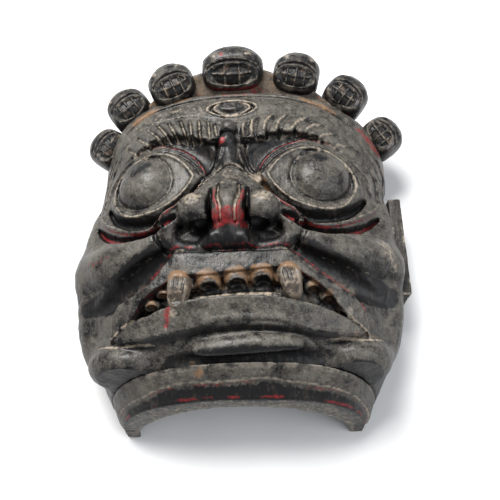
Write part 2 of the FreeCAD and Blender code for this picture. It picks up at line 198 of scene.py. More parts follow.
class Clay:
    """A block of space that holds the distance to the surface of one piece."""

    def __init__(self, low, high, step):
        self.low = np.array(low, float)
        self.step = step
        counts = np.ceil((np.array(high) - self.low) / step).astype(int) + 1
        axes = [self.low[i] + step * np.arange(counts[i], dtype=np.float32) for i in range(3)]
        self.axes = self.x, self.y, self.z = np.ix_(*axes)
        self.field = np.full(counts, FAR, np.float32)

    def work(self, make, form, low, high, blend, remove=False):
        """Add the field make(x, y, z, *form) to the block between two corners, or remove it."""
        i, j, k = cells_between(low, high, self.low, self.step)
        field = make(self.x[i], self.y[:, j], self.z[:, :, k], *form)
        if remove:
            self.field[i, j, k] = soft_max(self.field[i, j, k], -field, blend)
        else:
            self.field[i, j, k] = soft_min(self.field[i, j, k], field, blend)

    def limb(self, points, blend, remove=False, both=True):
        """Add or remove a smooth limb through (x, y, z, radius), on both sides of the face."""
        for side in (1, -1) if both else (1,):
            run = smooth_curve([(side * p[0], *p[1:]) for p in points])
            reach = run[:, 3:].max() + blend + 3
            low, high = run[:, :3].min(0) - reach, run[:, :3].max(0) + reach
            self.work(tube_field, [run], low, high, blend, remove)

    def ball(self, centre, radii, blend, axes=((1, 0, 0), (0, 1, 0), (0, 0, 1)), remove=False):
        """Add or remove an ellipsoid."""
        reach = max(radii) + blend + 3
        low, high = np.array(centre) - reach, np.array(centre) + reach
        self.work(ball_field, (centre, radii, axes), low, high, blend, remove)

    def sample(self, points):
        """The field at free points."""
        return sampled(self.field, self.low, self.step, points)

    def polygons(self):
        """The points and faces of the surface."""
        grid = openvdb.FloatGrid(3 * self.step)
        grid.copyFromArray(np.clip(self.field, -3 * self.step, 3 * self.step), tolerance=0)
        points, triangles, quads = grid.convertToPolygons(0.0, 0.0)
        faces = triangles.tolist() + quads.tolist()
        return points * self.step + self.low, faces


# ---- noise on points

LATTICE = np.random.default_rng(20).random((32, 32, 32))


def noise(points, cell, layer=0):
    """Smooth noise from -1 to 1 whose lumps are about one cell wide."""
    spot = points / cell + 7.3 * (layer + 1)
    cells = np.floor(spot).astype(int)
    part = spot - cells
    part = part * part * (3 - 2 * part)
    return blend_corners(cells, part, lambda i, j, k: LATTICE[i % 32, j % 32, k % 32]) * 2 - 1


# ---- the bare surfaces

def dome_field(x, y, z, inset=0.0, sections=DOME):
    """About the distance to the bare dome, set in by the same amount all round."""
    along, widths, heights = sections
    width = (np.interp(y.ravel(), along, widths) - inset).reshape(y.shape)
    height = (np.interp(y.ravel(), along, heights) - inset).reshape(y.shape)
    across = (np.abs(x) / width) ** BOXINESS
    up = (np.abs(z) / height) ** BOXINESS
    size = (across + up) ** (1 / BOXINESS) + 1e-6
    slope_x = (np.abs(x) / width / size) ** (BOXINESS - 1) / width
    slope_z = (np.abs(z) / height / size) ** (BOXINESS - 1) / height
    fall = np.gradient(height.ravel(), y.ravel()).reshape(y.shape)
    slope_y = slope_z * (np.abs(z) / height) * fall
    return ((size - 1) / np.sqrt(slope_x**2 + slope_y**2 + slope_z**2 + 1e-9)).astype(np.float32)


def above_dome(points, sections=DOME):
    """Height of free points over the bare dome, negative below it."""
    along, widths, heights = sections
    width = np.interp(points[:, 1], along, widths)
    height = np.interp(points[:, 1], along, heights)
    size = ((np.abs(points[:, 0]) / width) ** BOXINESS
            + (np.abs(points[:, 2]) / height) ** BOXINESS) ** (1 / BOXINESS)
    return (size - 1) * np.minimum(width, height)


def plan_field(x, y, inset=0.0):
    """Distance in the plan to the forehead's outline."""
    width, length = PLAN_WIDTH - inset, PLAN_LENGTH - inset
    up = np.maximum(y - PLAN_CENTRE_Y, 0) / length
    across = np.abs(x) / width
    size = (across**BOXINESS + up**BOXINESS) ** (1 / BOXINESS) + 1e-6
    slope_x = (across / size) ** (BOXINESS - 1) / width
    slope_y = (up / size) ** (BOXINESS - 1) / length
    return (size - 1) / np.sqrt(slope_x**2 + slope_y**2 + 1e-9)


def collar_plane(y, z):
    """Distance above the plane of the collar's lower end."""
    return math.cos(COLLAR_TILT) * (y - COLLAR_LOW_Y) - math.sin(COLLAR_TILT) * z


def skin(x, y):
    """Height of the bare dome at a place in the plan."""
    width = np.interp(y, DOME_Y, DOME_WIDTH)
    height = np.interp(y, DOME_Y, DOME_HEIGHT)
    across = min(abs(x) / width, 0.985)
    return height * (1 - across**BOXINESS) ** (1 / BOXINESS)


def skin_axes(x, y):
    """Axes on the bare dome: across, along and out of it."""
    out = np.array([skin(x - 1, y) - skin(x + 1, y), skin(x, y - 1) - skin(x, y + 1), 2.0])
    out /= np.linalg.norm(out)
    across = np.cross((0.0, 1.0, 0.0), out)
    across /= np.linalg.norm(across)
    return across, np.cross(out, across), out


def on_skin(x, y, lift, radius):
    """A limb's point at a height over the bare dome."""
    out = skin_axes(x, y)[2]
    return (x + out[0] * lift, y + out[1] * lift, skin(x, y) + out[2] * lift, radius)


# ---- drawing on the plan

# The dark layer holds dark paint and painted shade; the pale layer holds pale paint and dust, and a few
# painted highlights.
LAYERS = ("groove", "ridge", "red", "ochre", "pale", "dark")


class Plan:
    """Carving and paint drawn on the mask as it is seen from the front.

    A line has a layer, points, a width, an amount and the softness of its edges. A patch has a layer,
    an outline, an amount and the softness of its edges.
    """

    def __init__(self, clay):
        self.low, self.step = clay.low[:2], clay.step
        self.x, self.y = clay.x[:, :, 0], clay.y[:, :, 0]
        shape = (self.x.shape[0], self.y.shape[1])
        self.layers = {name: np.zeros(shape, np.float32) for name in LAYERS}

    def put(self, layer, points, reach, value):
        """Keep the greater of a layer and value(x, y) near the points."""
        points = np.array(points)[:, :2]
        i, j = cells_between(points.min(0) - reach, points.max(0) + reach, self.low, self.step)
        part = self.layers[layer]
        part[i, j] = np.maximum(part[i, j], value(self.x[i], self.y[:, j]))

    def stroke(self, layer, points, width, amount, soft=0.8, both=False, taper=0.6, smooth=True):
        """A line of one width, thinner towards its ends."""
        for side in (1, -1) if both else (1,):
            run = [(side * p[0], p[1]) for p in points]
            run = smooth_curve(run) if smooth else run

            def value(x, y):
                gap, along = line_distance(x, y, run)
                half = width / 2 * (1 - taper * np.abs(2 * along - 1) ** 3)
                part = unit((half - gap) / soft + 0.5)
                return amount * part * part * (3 - 2 * part)

            self.put(layer, run, width + soft, value)

    def pair(self, *line, **form):
        """The same line on both halves of the face."""
        self.stroke(*line, both=True, **form)

    def area(self, layer, points, amount, soft=1.5, both=False, curved=True):
        """A patch inside a closed outline. The amount may be a function of x and y."""
        for side in (1, -1) if both else (1,):
            ring = [(side * p[0], p[1]) for p in points]
            if curved:
                ring = list(smooth_curve(ring + ring[:1], 4))[:-1]

            def value(x, y):
                part = unit(0.5 - region_distance(x, y, ring) / soft)
                height = amount(side * x, y) if callable(amount) else amount
                return height * part * part * (3 - 2 * part)

            self.put(layer, ring, soft + 1, value)

    def carve(self, clay):
        """Cut the grooves into the block and raise the ridges."""
        relief = self.layers["groove"] - self.layers["ridge"]
        clay.field += relief[:, :, None]


# ---- the parts of the face

BROW_LOW = ((8, 42), (16, 43), (28, 45), (42, 48), (54, 48), (66, 45), (78, 42), (90, 38))
BROW_HIGH = ((97, 45), (88, 54), (74, 61), (60, 65), (46, 68), (32, 68), (18, 65), (8, 58))
LID = ((20, 15), (26, 28), (37, 37), (51, 41), (67, 40), (82, 32), (92, 17), (92, 2), (80, -9),
       (64, -14), (48, -11), (33, 1))
LIP_OUTER = ((0, -43), (20, -43), (38, -42.5), (60, -57), (76, -68), (86, -82), (87, -99))
LIP_INNER = ((0, -57), (25, -57), (37, -56), (47, -62), (56, -69), (63, -76), (68, -84))
MOUTH_LOW = ((60, -83), (50, -79), (36, -76), (20, -74), (0, -73))
PAD_HIGH = ((0, -73), (20, -73), (36, -75), (50, -79), (63, -83), (75, -88), (86, -96))
PAD_LOW = ((80, -101), (66, -101), (50, -98), (36, -96), (18, -94), (0, -93))
EYE = (64, 15)
EYE_RADIUS = 21
THIRD_EYE = (0, 77)
INCISORS = (-17, 1, 18)
RING = {"taper": 0, "smooth": False}
NOSTRIL = ((21, -49, 112, 7.5), (20.5, -35, 105, 7.5), (20, -22, 96, 7))


def oval(centre, across, up, squeeze=0.0, count=25):
    """Points round an oval, which is pointed at its two ends where it is squeezed."""
    return [(centre[0] + across * math.cos(t),
             centre[1] + up * math.sin(t) * (1 - squeeze * math.cos(t) ** 2))
            for t in np.linspace(0, 2 * math.pi, count)]


def moved(line, across, up):
    return [(x + across, y + up) for x, y in line]


def whole(right, back):
    """A closed outline across the face, from the right halves of its upper and lower edges."""
    upper = [(-x, y) for x, y in right[:0:-1]] + list(right)
    lower = list(back) if back[0][0] > back[-1][0] else list(back)[::-1]
    return upper + lower + [(-x, y) for x, y in lower[-2::-1]]


def shape_masses(clay):
    """The large carved forms of the face."""
    forms = Plan(clay)
    low = np.array(BROW_LOW)

    def brow_lift(x, y):
        lift = 7.5 - 0.19 * np.clip(y - np.interp(x, low[:, 0], low[:, 1]), 0, 20)
        return lift * np.clip((86 - x) / 26, 0.08, 1)

    forms.area("ridge", BROW_LOW + BROW_HIGH, brow_lift, 2.0, both=True)
    forms.area("ridge", LID, 3.5, 4, both=True)
    forms.area("ridge", whole(LIP_OUTER, LIP_INNER), 7.5, 3.0, curved=False)
    forms.area("groove", whole(LIP_INNER, MOUTH_LOW), 7.0, 2.5, curved=False)
    forms.area("ridge", whole(PAD_HIGH, PAD_LOW), lambda x, y: 9.0 + 0.14 * (y + 80), 4.5, curved=False)
    forms.carve(clay)

    # Nose: a bridge that ends in a flat tip, a bump and a wing on each side, a recessed septum.
    clay.limb([(0, 16, 90, 9), (0, 4, 94, 11), (0, -8, 99, 12)], 5, both=False)
    clay.ball((0, -16, 104), (12.5, 14.5, 13.5), 4)
    clay.limb([(5, 16, 90, 7), (12, 2, 93, 9), (19, -8, 96, 10)], 5)
    for side in (1, -1):
        clay.ball((side * 23, -15, 100), (12.5, 12, 14.5), 3)
        clay.ball((side * 9, -35, 95), (11, 7.5, 12), 4)
    clay.ball((0, -30, 96), (9, 11, 13), 4)
    clay.limb([(32, -11, 98, 7), (41, -20, 98, 6.5), (42, -30, 95, 5.5), (34, -38, 93, 4.5),
               (20, -40, 92, 4)], 2.5)
    # Brow knot, eyes, the hollows beside the bridge of the nose.
    clay.limb([on_skin(15, 21, 3, 6), on_skin(20, 31, 3.5, 9), on_skin(31, 40, 3, 7),
               on_skin(46, 45, 2.5, 4)], 3, remove=True)
    clay.limb([(-2, 42, 92, 6.5), (-1, 32, 92.5, 7), (0, 18, 93, 8.5)], 2, both=False)
    for side in (1, -1):
        spot = on_skin(side * EYE[0], EYE[1], -3, 0)[:3]
        clay.ball(spot, (EYE_RADIUS + 1, EYE_RADIUS, 15.5), 1.2, axes=skin_axes(side * EYE[0], EYE[1]))
    clay.ball((-2, 55, skin(0, 55) + 3), (6.5, 6.5, 6), 1)
    clay.ball((-2, 41, skin(0, 41) + 5.5), (6, 7, 6), 0.6)
    # Cheeks, with the furrow under them.
    cheek = ((43, -27, 7), (56, -35, 9.5), (74, -39, 12.5), (91, -40, 14.5), (105, -39, 15),
             (112, -42, 13))
    clay.limb([on_skin(x, y, 9.5 - r, r) for x, y, r in cheek], 3)
    clay.limb([(105, 2, 44, 7), (105, -20, 45, 12), (105, -42, 44, 14), (107, -62, 41, 12.5),
               (106, -80, 38, 12.5), (99, -98, 36, 14)], 9)
    furrow = ((47, -45, 2, 5), (58, -52, 2, 7.5), (72, -60, 2, 9.5), (86, -66, 2, 9.5),
              (97, -70, 4, 6.5), (104, -71, 7, 4))
    clay.limb([on_skin(*spot) for spot in furrow], 3, remove=True)
    # Chin roll, the undercut below it, and the jowls.
    roll = ((-28, -105, 3.8), (-20, -104, 5.6), (-4, -103, 6.4), (14, -102, 6.4), (28, -102, 5.6),
            (37, -103, 3.8))
    clay.limb([on_skin(x, y, 1, r) for x, y, r in roll], 4, both=False)
    clay.limb([on_skin(x, y, 4, 5) for x, y in ((-44, -111), (-15, -112), (20, -111), (54, -110))], 3,
              both=False, remove=True)
    for side in (1, -1):
        clay.ball((side * 78, -108, 44), (29, 19, 33), 5)


def shape_teeth(clay):
    """Scalloped gums with a dark tooth under each, and the bare strip of the lower gum."""
    teeth = [(x, -58, 8.8) for x in INCISORS]
    teeth += [(51, -66, 6.5), (61, -72, 6.5), (71, -78.5, 5), (-48, -66, 6), (-57, -74.5, 6)]
    for x, y, size in teeth:
        z = skin(x, y) - 1.5
        clay.ball((x, y, z), (size, size * 0.9, size * 0.9), 0.6)
        clay.ball((x, y - size * 0.9, z + 2), (size * 0.72, size * 0.72, size), 0.8, remove=True)
        clay.ball((x, y - size * 0.8, z - 8), (size * 0.95, size, size * 0.5), 0.5)
    strip = [(x, -71.5 - 0.0016 * x * x, skin(x, -72) - 5, 3.6) for x in (-30, -15, 0, 15, 30)]
    clay.limb(strip, 1, both=False)
    z = skin(36, -58)
    gum = [(28.5, -62, z - 1, 2.2), (30.5, -57, z + 1, 2.8), (36, -54.5, z + 2, 3.0),
           (41.5, -57, z + 1, 2.8), (43.5, -62, z - 1, 2.2)]
    clay.limb(gum, 0.8)


def draw_eyes(stroke, pair, area):
    """The rings and lids around the two eyes, and the third eye."""
    circle = oval(EYE, EYE_RADIUS + 1, EYE_RADIUS)
    pair("groove", circle, 2.0, 1.4, 1.6, **RING)
    pair("pale", oval(EYE, 0.97 * (EYE_RADIUS + 1), 0.97 * EYE_RADIUS), 1.0, 0.5, **RING)
    inner = ((26, 15), (34, 26), (45, 34), (58, 37), (73, 34), (85, 24), (88.5, 9), (79, -7), (63, -11),
             (45, -6), (33, 4), (26, 15))
    pair("ridge", inner, 2.4, 1.5, 1.6, taper=0)
    pair("pale", inner, 1.5, 0.75, taper=0)
    upper = ((22, 17), (29, 28), (42, 36.5), (56, 39.5), (72, 37), (86, 27), (91, 13))
    pair("groove", upper, 2.2, 2.2, 1.6)
    # Painted shade in the groove over the lid.
    pair("dark", upper, 2.4, 0.8, 2)
    outer = ((18, 15), (23, 29), (35, 39.5), (50, 44), (67, 43), (84, 36), (97, 22), (100, 8))
    pair("ridge", outer, 2.6, 1.5, 1.6)
    pair("pale", moved(outer, 0, 0.8), 1.2, 0.5)
    below = ((22, 9), (30, -3), (40, -11), (55, -17), (71, -16), (85, -8), (94, 3))
    pair("groove", below, 6, 5, 3)
    # Painted shade in the deep groove under the eye.
    pair("dark", below, 6.5, 0.95, 3)
    rim = ((20, 8), (31, -7), (45, -18), (64, -22), (83, -16.5), (98, -6), (104, 4))
    pair("ridge", rim, 3.2, 2.2, 2)
    pair("pale", moved(rim, 0, 1), 1.4, 0.7)
    pair("red", moved(rim, 0.5, -1.8), 1.6, 0.7)
    bag = ((37, -20), (45, -24), (60, -28), (78, -26), (94, -18), (104, -8))
    pair("groove", bag, 5, 5, 3)
    pair("red", bag, 2.6, 0.9, 1.6)
    # Painted shade in the groove of the bag under the eye.
    pair("dark", bag, 6, 0.7, 3)
    for ring in (((-80, 24), (-66, 30), (-58, 24), (-68, 18)), ((70, 0), (80, 4), (78, 16), (70, 10)),
                 ((54, 26), (66, 30), (70, 24), (58, 20))):
        area("dark", ring, 0.5, 7)
    for rx, ry, ridge in ((19, 9.2, 1.6), (13.5, 7.4, 1.4)):
        ring = oval(THIRD_EYE, rx, ry, 0.25)
        stroke("ridge", ring, 2.0, ridge, 1.4, **RING)
        stroke("pale", ring, 1.3, 1.0, 0.8, **RING)
    stroke("groove", oval(THIRD_EYE, 15.8, 7.6), 1.8, 1.8, 1.2, **RING)
    pupil = oval((-1, 77.5), 10, 5.4, count=17)[:-1]
    area("ridge", pupil, 3.2, 3, curved=False)
    area("dark", pupil, 0.7, 1.5, curved=False)


def draw_brows(stroke, pair, area):
    """Slanting hairs across the brows, in squared pads on the left and in leaves on the right."""
    left = (((12, 58), (10, 44)), ((17, 61), (15, 43)), ((24, 63), (22, 43)), ((31, 64), (28, 43)),
            ((38, 65), (32, 44)), ((47, 64), (39, 46)), ((55, 63), (45, 46)), ((64, 62), (51, 45)),
            ((74, 58), (60, 43)), ((83, 52), (72, 40)))
    for top, foot in left:
        hair = [(-top[0], top[1]), (-foot[0], foot[1] + 2)]
        stroke("groove", hair, 2.6, 2.4, 2.2, taper=0.2, smooth=False)
        # Painted shadow beside each hair's groove.
        stroke("dark", moved(hair, -1.5, 0), 1.8, 0.3, smooth=False)
        stroke("pale", hair, 1.5, 0.8, 1.0, taper=0.2, smooth=False)
    right = (((13, 60), (12, 45)), ((20, 64), (18, 45)), ((33, 67), (26, 47)), ((43, 66), (35, 48)),
             ((58, 63), (46, 49)), ((69, 59), (57, 49)), ((79, 54), (66, 44)), ((89, 47), (77, 40)))
    for top, foot in right:
        middle = ((top[0] + foot[0]) / 2 - 1.2, (top[1] + foot[1]) / 2 + 1.2)
        hair = (foot, middle, top)
        stroke("groove", hair, 4.2, 3.4 - 0.018 * foot[0], 3.2, taper=0.6)
        # Painted shadow in each leaf's groove.
        stroke("dark", hair, 2.2, 0.7 - 0.007 * foot[0], 1.4)
        stroke("pale", moved(hair, -2.6, 1.0), 1.7, 0.95, 1.0)
    pair("pale", BROW_LOW, 1.4, 0.5, 1.2)
    pair("pale", BROW_HIGH[1:], 1.4, 0.45, 1.2)
    pair("groove", moved(BROW_HIGH[1:], 0, 2), 3, 1.2, 2.4)
    # Painted shade in the hollow under the brow beside the nose, and under the brow's lower edge.
    area("dark", ((10, 42), (24, 44), (42, 47), (50, 45), (40, 40), (28, 30), (19, 18), (12, 24)), 1.0,
         3, both=True)
    pair("dark", moved(BROW_LOW[1:5], 0, -2), 4, 0.9, 2)
    pair("red", ((74, 43), (58, 45), (46, 44), (34, 40), (24, 30), (17, 17)), 2.0, 0.7, 1.2)
    frown = ((10, 42), (10, 34), (13, 24), (20, 15))
    pair("groove", frown, 2.6, 2.2, 1.8)
    pair("ridge", moved(frown, -3.5, 0), 2, 1.2, 1.6)
    stroke("ochre", ((12, 36), (15, 24), (20, 16)), 3, 0.5, 2)
    area("dark", ((-8, 50), (5, 50), (7, 38), (9, 22), (-9, 22), (-10, 38)), 0.9, 4)
    area("red", ((-8, 40), (-4, 42), (-3, 38), (-7, 36)), 0.9, 1.5)


def draw_nose(stroke, pair, area):
    """Flutes and paint on the nose, its red tip, and the rims of the nostrils."""
    for x0, x1 in ((-7, -4.5), (7, 5)):
        run = ((x0, 2), (x0, -8), (x1, -18), (x1, -27))
        stroke("groove", run, 2.8, 2.4, 2.0, taper=0.3)
        stroke("pale", run, 1.6, 0.9, 1.0, taper=0.3)
        stroke("red", [(x * 1.35, y - 2) for x, y in run], 2.6, 0.8, 1.8)
    flank = ((12.5, 0), (12.5, -12), (12.5, -26))
    pair("groove", flank, 3.0, 2.6, 2.4)
    # Painted shade in the flank groove.
    pair("dark", flank, 2.6, 0.7, 2)
    arch = ((-32, -12), (-20, 6), (-8, 16), (0, 19), (9, 16), (21, 6), (33, -12))
    stroke("groove", arch, 2.0, 1.8, 1.6)
    stroke("pale", moved(arch, 0, 1.8), 1.4, 0.8, 1.0)
    stroke("ochre", ((22, 16), (26, 4), (33, -8)), 5, 0.6, 4)
    stroke("ochre", ((-22, 16), (-26, 4), (-33, -8)), 4, 0.3, 4)
    area("red", ((-11, -19), (11, -19), (11, -29), (0, -31), (-11, -29)), 0.8, 5)
    # Painted shade under the septum and inside the nostrils.
    area("dark", ((-13, -30), (13, -30), (15, -41), (0, -43), (-15, -41)), 1.0, 2.5)
    area("dark", ((8, -31), (18, -26), (30, -26), (38, -32), (33, -44), (8, -44)), 1.0, 3, both=True)
    stroke("red", ((-9, -42.5), (2, -43), (12, -42.5)), 1.6, 0.7)
    wing = ((28, -4), (39, -13), (46, -23), (47, -32), (41, -41))
    pair("groove", moved(wing, 3, 1), 3, 2.5, 2.4)
    pair("pale", wing, 1.4, 0.5, 1.0)
    rim = [(22 + 13 * math.cos(t), -35 + 10 * math.sin(t)) for t in np.linspace(0.2, 3.0, 9)]
    pair("pale", rim, 1.8, 0.75, 1.2)
    area("pale", ((15, -8), (24, -4), (31, -10), (28, -16), (18, -14)), 0.6, 5, both=True)
    area("pale", ((13, 20), (20, 19), (22, 10), (16, 8)), 0.75, 4)


def draw_mouth(stroke, pair, area):
    """The edges of lips, gums and teeth, and the folds of the muzzle and the jaw."""
    pair("pale", LIP_OUTER[1:], 1.7, 0.75, 1.0, taper=0.3)
    pair("red", moved(LIP_OUTER, 0, 2.5), 2.4, 0.6, 1.6)
    pair("red", moved(LIP_INNER, 0, 1), 1.8, 0.45, 1.4)
    pair("ochre", moved(LIP_INNER, 0, -3), 3, 0.4, 3)
    # Painted shade in the mouth along the inner edge of the upper lip.
    pair("dark", moved(LIP_INNER, 0, -1), 2.4, 0.9, 1.6)
    pair("pale", PAD_HIGH, 2.0, 0.8, 1.2, taper=0.2)
    for x in INCISORS:
        arc = ((x - 8, -62), (x - 5, -57), (x, -55), (x + 5, -57), (x + 8, -62))
        stroke("ochre", arc, 6, 0.85, 2.5, taper=0.2)
        # Painted shade in the recess next to each gum; the tooth under it gets its own dark colour and
        # painted shade.
        stroke("dark", moved(arc, 0, 4), 3, 0.9, 1.5, taper=0.2)
        area("dark", ((x - 5.5, -64), (x, -60.5), (x + 5.5, -64), (x + 6, -70), (x - 6, -70)), 0.8, 1.5)
    stroke("pale", ((-30, -71), (0, -70), (30, -71)), 2.6, 0.7, 1.4)
    stroke("ochre", ((-30, -72), (0, -71), (30, -72)), 4.0, 0.4, 2)
    pair("ochre", ((29, -62), (31, -57), (36, -54.5), (41, -57), (43, -62)), 5, 0.95, 2, taper=0.2)
    for x, y in ((51, -65), (61, -71), (-48, -65), (-57, -73.5)):
        area("ochre", ((x - 4, y - 2), (x, y + 2.5), (x + 4, y - 2), (x, y - 4)), 0.85, 3)
    area("red", ((-36, -75), (-45, -77), (-49, -84), (-48, -93), (-44, -90), (-42, -81)), 0.7, 5)
    area("pale", ((-39, -80), (-44, -82), (-44, -87), (-39, -86)), 0.6, 3)
    stroke("groove", ((-47, -78), (-47, -84), (-47, -92)), 3.4, 1.4, 2.6)
    area("dark", whole(LIP_OUTER, LIP_INNER), 0.2, 3, curved=False)
    # Folds of the muzzle and the jaw.
    arch = ((-40, -104), (-30, -97), (-14, -92), (4, -91), (24, -92), (40, -97), (50, -104))
    stroke("groove", arch, 2.4, 0.8, 2.4)
    stroke("ridge", [(x * 1.05, y + 3) for x, y in arch], 3, 0.6, 3)
    jaw = ((56, -101), (68, -100.5), (82, -100.5), (98, -99))
    pair("groove", moved(jaw, 0, -2.5), 4.5, 0.4, 3.2)
    pair("pale", jaw, 1.7, 0.95, 1.2)
    stroke("ochre", moved(jaw[1:], 0, 3), 5, 0.45, 4)
    cheek_edge = ((45, -36), (60, -45), (76, -51), (93, -54), (108, -54))
    # A painted highlight along the cheek's lower edge.
    pair("pale", cheek_edge, 1.4, 0.4, 1.4)
    stroke("red", ((-86, -40), (-96, -42), (-106, -40)), 5, 0.5, 4)
    # Painted shade in the furrow under the cheeks.
    pair("dark", ((45, -41), (58, -51), (74, -59), (90, -64), (108, -67)), 22, 1.0, 3.5, taper=0.4)
    area("pale", ((98, -22), (110, -30), (116, -46), (110, -52), (102, -36)), 0.5, 6)
    # Painted shadow under the chin roll and down to the collar.
    area("dark", ((-50, -108), (0, -107), (50, -108), (48, -120), (0, -122), (-48, -120)), 1.0, 4)
    stroke("dark", ((-36, -108), (0, -106.5), (42, -107)), 3, 0.8, 2.5)


def draw_forehead(stroke, pair, area):
    """The paint and the groove at the foot of the crown, and the grooves of the temples."""
    rim = ((-88, 74), (-66, 86), (-40, 94), (-18, 97), (0, 98), (18, 97), (40, 94), (66, 86), (88, 74))
    stroke("ochre", rim, 5, 0.3, 4)
    stroke("ochre", ((-82, 76), (-72, 82), (-58, 88)), 7, 0.9, 4)
    stroke("ochre", ((-48, 93), (-40, 95), (-34, 96)), 5, 0.8, 3)
    stroke("ochre", ((52, 91), (64, 86), (80, 77)), 6, 0.8, 4)
    stroke("red", moved(rim[3:-3], 0, -1), 2.5, 0.5, 2)
    stroke("red", ((94, 68), (102, 60), (108, 50)), 7, 0.65, 4)
    # A painted highlight: the forehead is made lighter on the viewer's left.
    area("pale", ((-92, 58), (-74, 74), (-40, 84), (-20, 84), (-20, 70), (-60, 66), (-84, 50)), 0.36, 10)
    area("pale", ((-4, 16), (5, 16), (8, 2), (-7, 2)), 0.36, 5)
    stroke("groove", moved(rim, 0, -4), 2.6, 2.2, 2)
    temple = ((100, 52), (108, 40), (112, 26), (113, 10))
    for shift in (0, 5, 10):
        pair("groove", moved(temple, -shift, -0.4 * shift), 1.8, 1.4, 1.6)


def build_face(clay):
    """The face's outside, its relief and paint, then the hollow and the cut edges."""
    dome = dome_field(*clay.axes)
    forehead = plan_field(clay.x, clay.y)
    clay.field = soft_max(dome, forehead, 4.0).astype(np.float32)
    shape_masses(clay)
    shape_teeth(clay)
    lines = Plan(clay)
    for draw in (draw_eyes, draw_brows, draw_nose, draw_mouth, draw_forehead):
        draw(lines.stroke, lines.pair, lines.area)
    lines.carve(clay)
    for side in (1, -1):
        nostril = [(side * x, y, z, radius) for x, y, z, radius in NOSTRIL]
        low, high = (side * 21 - 14, -62, 84), (side * 21 + 14, -8, 124)
        clay.work(tube_field, [nostril], low, high, 1.5, remove=True)
        tie = [(side * x, *TIE_HOLE[:2], 5) for x in (130, 90)]
        clay.work(tube_field, [tie], (-130, 0, 18), (130, 18, 36), 0.5, remove=True)
    hollow = soft_max(dome_field(*clay.axes, WALL),
                      plan_field(clay.x, clay.y, HOLLOW_INSET), 4.0)
    clay.field = soft_max(clay.field, -hollow, 2.0)
    clay.field = np.maximum(clay.field, COLLAR_LENGTH + 0.3 - collar_plane(clay.y, clay.z))
    clay.field = soft_max(clay.field, BACK_Z - clay.z, 1.2)
    return lines


# ---- from field to object

def add_object(name, data):
    thing = bpy.data.objects.new(name, data)
    bpy.context.scene.collection.objects.link(thing)
    return thing


def make_object(name, material, points, faces, marks):
    """A mesh of the sculpted points, with the measures that its material reads."""
    mesh = bpy.data.meshes.new(name)
    mesh.from_pydata(((points + (0, RAISE, 0)) * MM).tolist(), [], faces)
    mesh.update()
    mesh.shade_smooth()
    for layer, values in marks.items():
        slot = mesh.attributes.new(layer, "FLOAT", "POINT")
        slot.data.foreach_set("value", np.asarray(values, np.float32))
    mesh.materials.append(MATERIALS[material])
    return add_object(name, mesh)


def normals_of(points, faces):
    """The direction out of the surface at each point."""
    normals = np.zeros_like(points)
    for size in (3, 4):
        chosen = np.array([face for face in faces if len(face) == size])
        if len(chosen) == 0:
            continue
        a, b, c = points[chosen[:, 0]], points[chosen[:, 1]], points[chosen[:, -1]]
        flat = np.cross(b - a, c - a)
        for corner in range(size):
            np.add.at(normals, chosen[:, corner], flat)
    return normals / (np.linalg.norm(normals, axis=1)[:, None] + 1e-9)


def surface(clay, rough=1.0, seed=0):
    """Points, faces and the measures of wear that the materials use."""
    points, faces = clay.polygons()
    normals = normals_of(points, faces)
    wear = {}
    for reach in (2.0, 5.0):
        outside = np.clip(clay.sample(points + normals * reach), -8, 8)
        inside = np.clip(clay.sample(points - normals * reach), -8, 8)
        wear[reach] = (reach - outside, inside + reach)
    cavity = unit(wear[2.0][0] / 2.2) * 0.5 + unit(wear[5.0][0] / 6) * 0.5
    edge = unit(wear[2.0][1] / 1.5)
    bumps = (0.5 * noise(points, 14, seed) + 0.28 * noise(points, 5, seed + 1)
             + 0.14 * noise(points, 2.2, seed + 2))
    gouges = unit(noise(points, 6, seed + 3) - 0.55) * 1.5
    points = points + normals * (rough * (bumps - gouges))[:, None]
    return points, faces, normals, {"cavity": cavity, "edge": edge}


def plan_paint(plan, points, normals, marks):
    """Spread the painted layers over the outward-facing points, with painted shade on the undersides and
    steep sides.
    """
    x, y, z = points.T
    facing = unit(normals[:, 2] * 4 + 0.6) * (z > 12)
    for name in ("red", "ochre", "pale", "dark"):
        marks[name] = sampled(plan.layers[name], plan.low, plan.step, points[:, :2]) * facing
    # Painted shade on the undersides and steep sides; then darker towards the chin, lighter towards the
    # crown and across the lower lip.
    painted_shade_and_tone = unit(-0.42 - normals[:, 1]) * 1.1 + unit(0.5 - normals[:, 2]) * 1.1
    painted_shade_and_tone += 0.08 * unit((-20 - y) / 40) - 0.3 * unit((y - 30) / 25)
    painted_shade_and_tone -= 0.3 * bell(y + 84, 8) * (np.abs(x) < 55)
    marks["dark"] = np.clip(marks["dark"] + painted_shade_and_tone, -0.35, 1)


def temple_shift(points):
    """The viewer's left temple is narrower than the right one, which bulges over the board."""
    x, y, z = points.T
    left = unit((y + 10) / 50) * unit((-x - 60) / 45)
    over_board = np.maximum(unit((z - 38) / 12), unit((y - 20) / 15))
    right = unit((y + 20) / 40) * unit((x - 86) / 22) * over_board
    return 4.2 * left + 6 * right


def sway(points):
    """The carver's unevenness: the face drifts a little, and the mouth's left half hangs lower."""
    x, y, z = points.T
    drift = np.interp(y, (-154, -130, -100, -60, -36, 20, 100), (0, 2, 4.5, 1, -2.5, -1, 0))
    hang = np.interp(y, (-74, -60, -51, -44), (0, 4, 3, 0))
    across = x + drift * unit(1 - (x / 112) ** 2) + temple_shift(points)
    return np.stack((across, y - hang * unit((22 - x) / 40) * unit((z - 30) / 30), z), axis=1)


